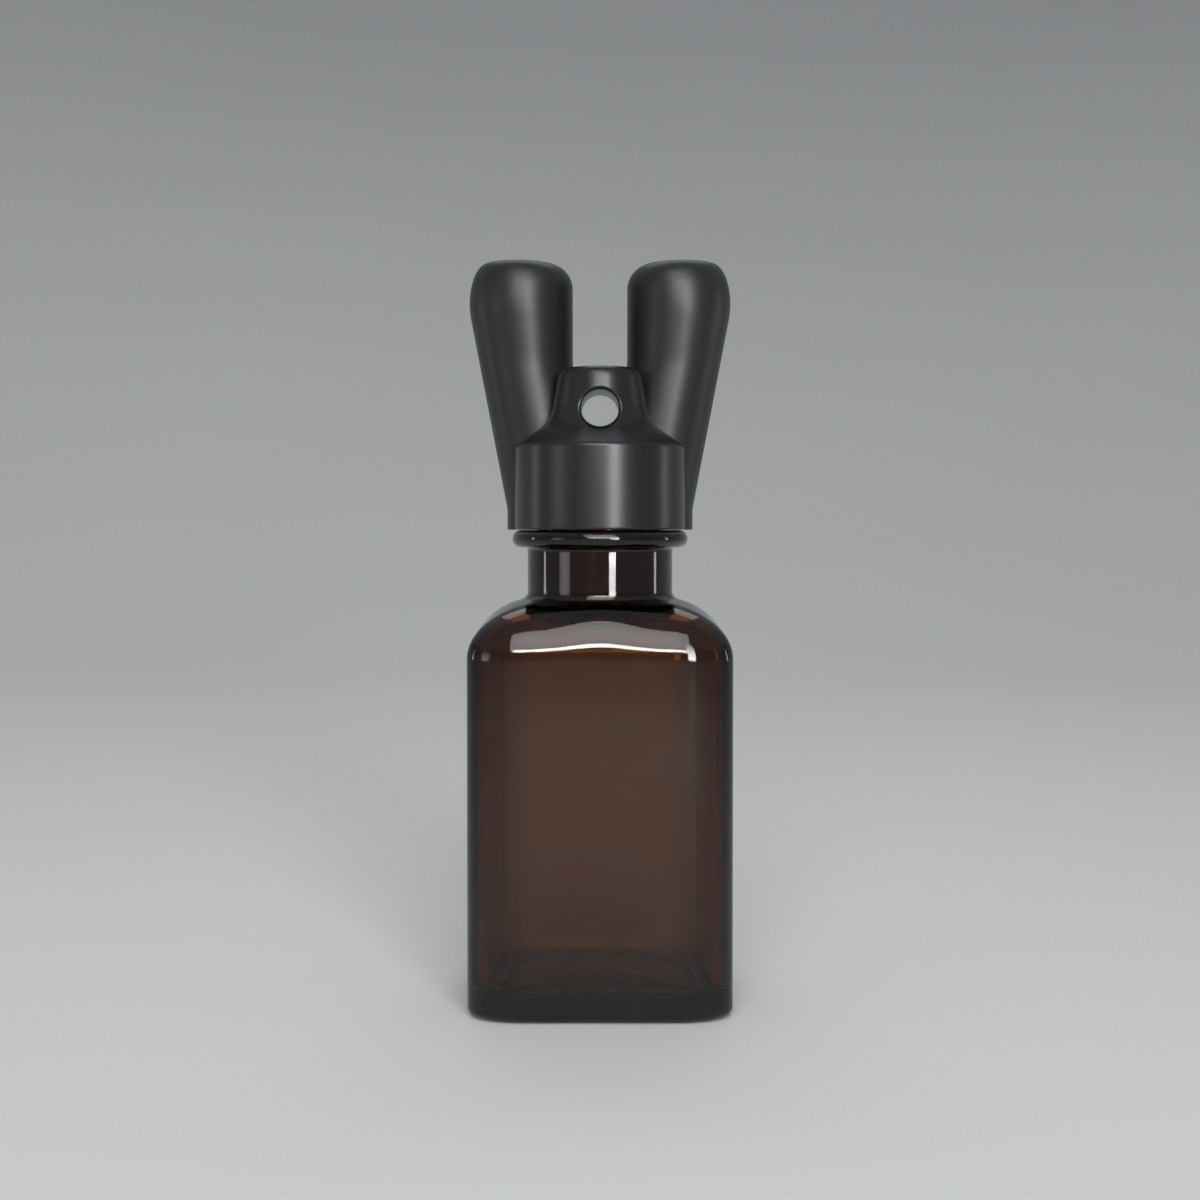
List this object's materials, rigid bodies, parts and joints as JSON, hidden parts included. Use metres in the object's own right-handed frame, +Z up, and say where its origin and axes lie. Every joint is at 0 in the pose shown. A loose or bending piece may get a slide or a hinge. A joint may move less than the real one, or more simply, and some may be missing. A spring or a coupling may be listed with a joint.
{
  "type": "glass bottle with a nozzle cap",
  "caption": "Oblong amber glass bottle with a black screw cap that has a lanyard post and hollow nostril nozzles side by side.",
  "frame": {"origin": "middle of the base, on the surface the bottle stands on", "axes": "+Z up along the bottle's axis, -Y the front with the lanyard post, +X to the right of the front"},
  "size_m": [0.0332, 0.026, 0.092],
  "materials": {
    "amber_glass": "clear amber, polished",
    "cap_plastic": "satin black",
    "nozzle_plastic": "satin black, soft touch",
    "liner_foam": "closed foam"
  },
  "bodies": {
    "bottle": {"glass_bottle": "amber_glass"},
    "liner": {"seal_liner": "liner_foam"},
    "cap": {"screw_cap": "cap_plastic", "nozzle_left": "nozzle_plastic", "nozzle_right": "nozzle_plastic"}
  },
  "joints": [
    {"name": "cap_rise", "type": "slide", "parent": "bottle", "child": "liner", "axis": [0, 0, 1], "range_m": [0, 0.0145]},
    {"name": "cap_turn", "type": "hinge", "parent": "liner", "child": "cap", "pos_m": [0, 0, 0.0582], "axis": [0, 0, 1], "range_deg": [0, 1620]}
  ],
  "couplings": [
    {"joint": "cap_rise", "follows": "cap_turn", "m_per_rad": 0.00050532}
  ]
}
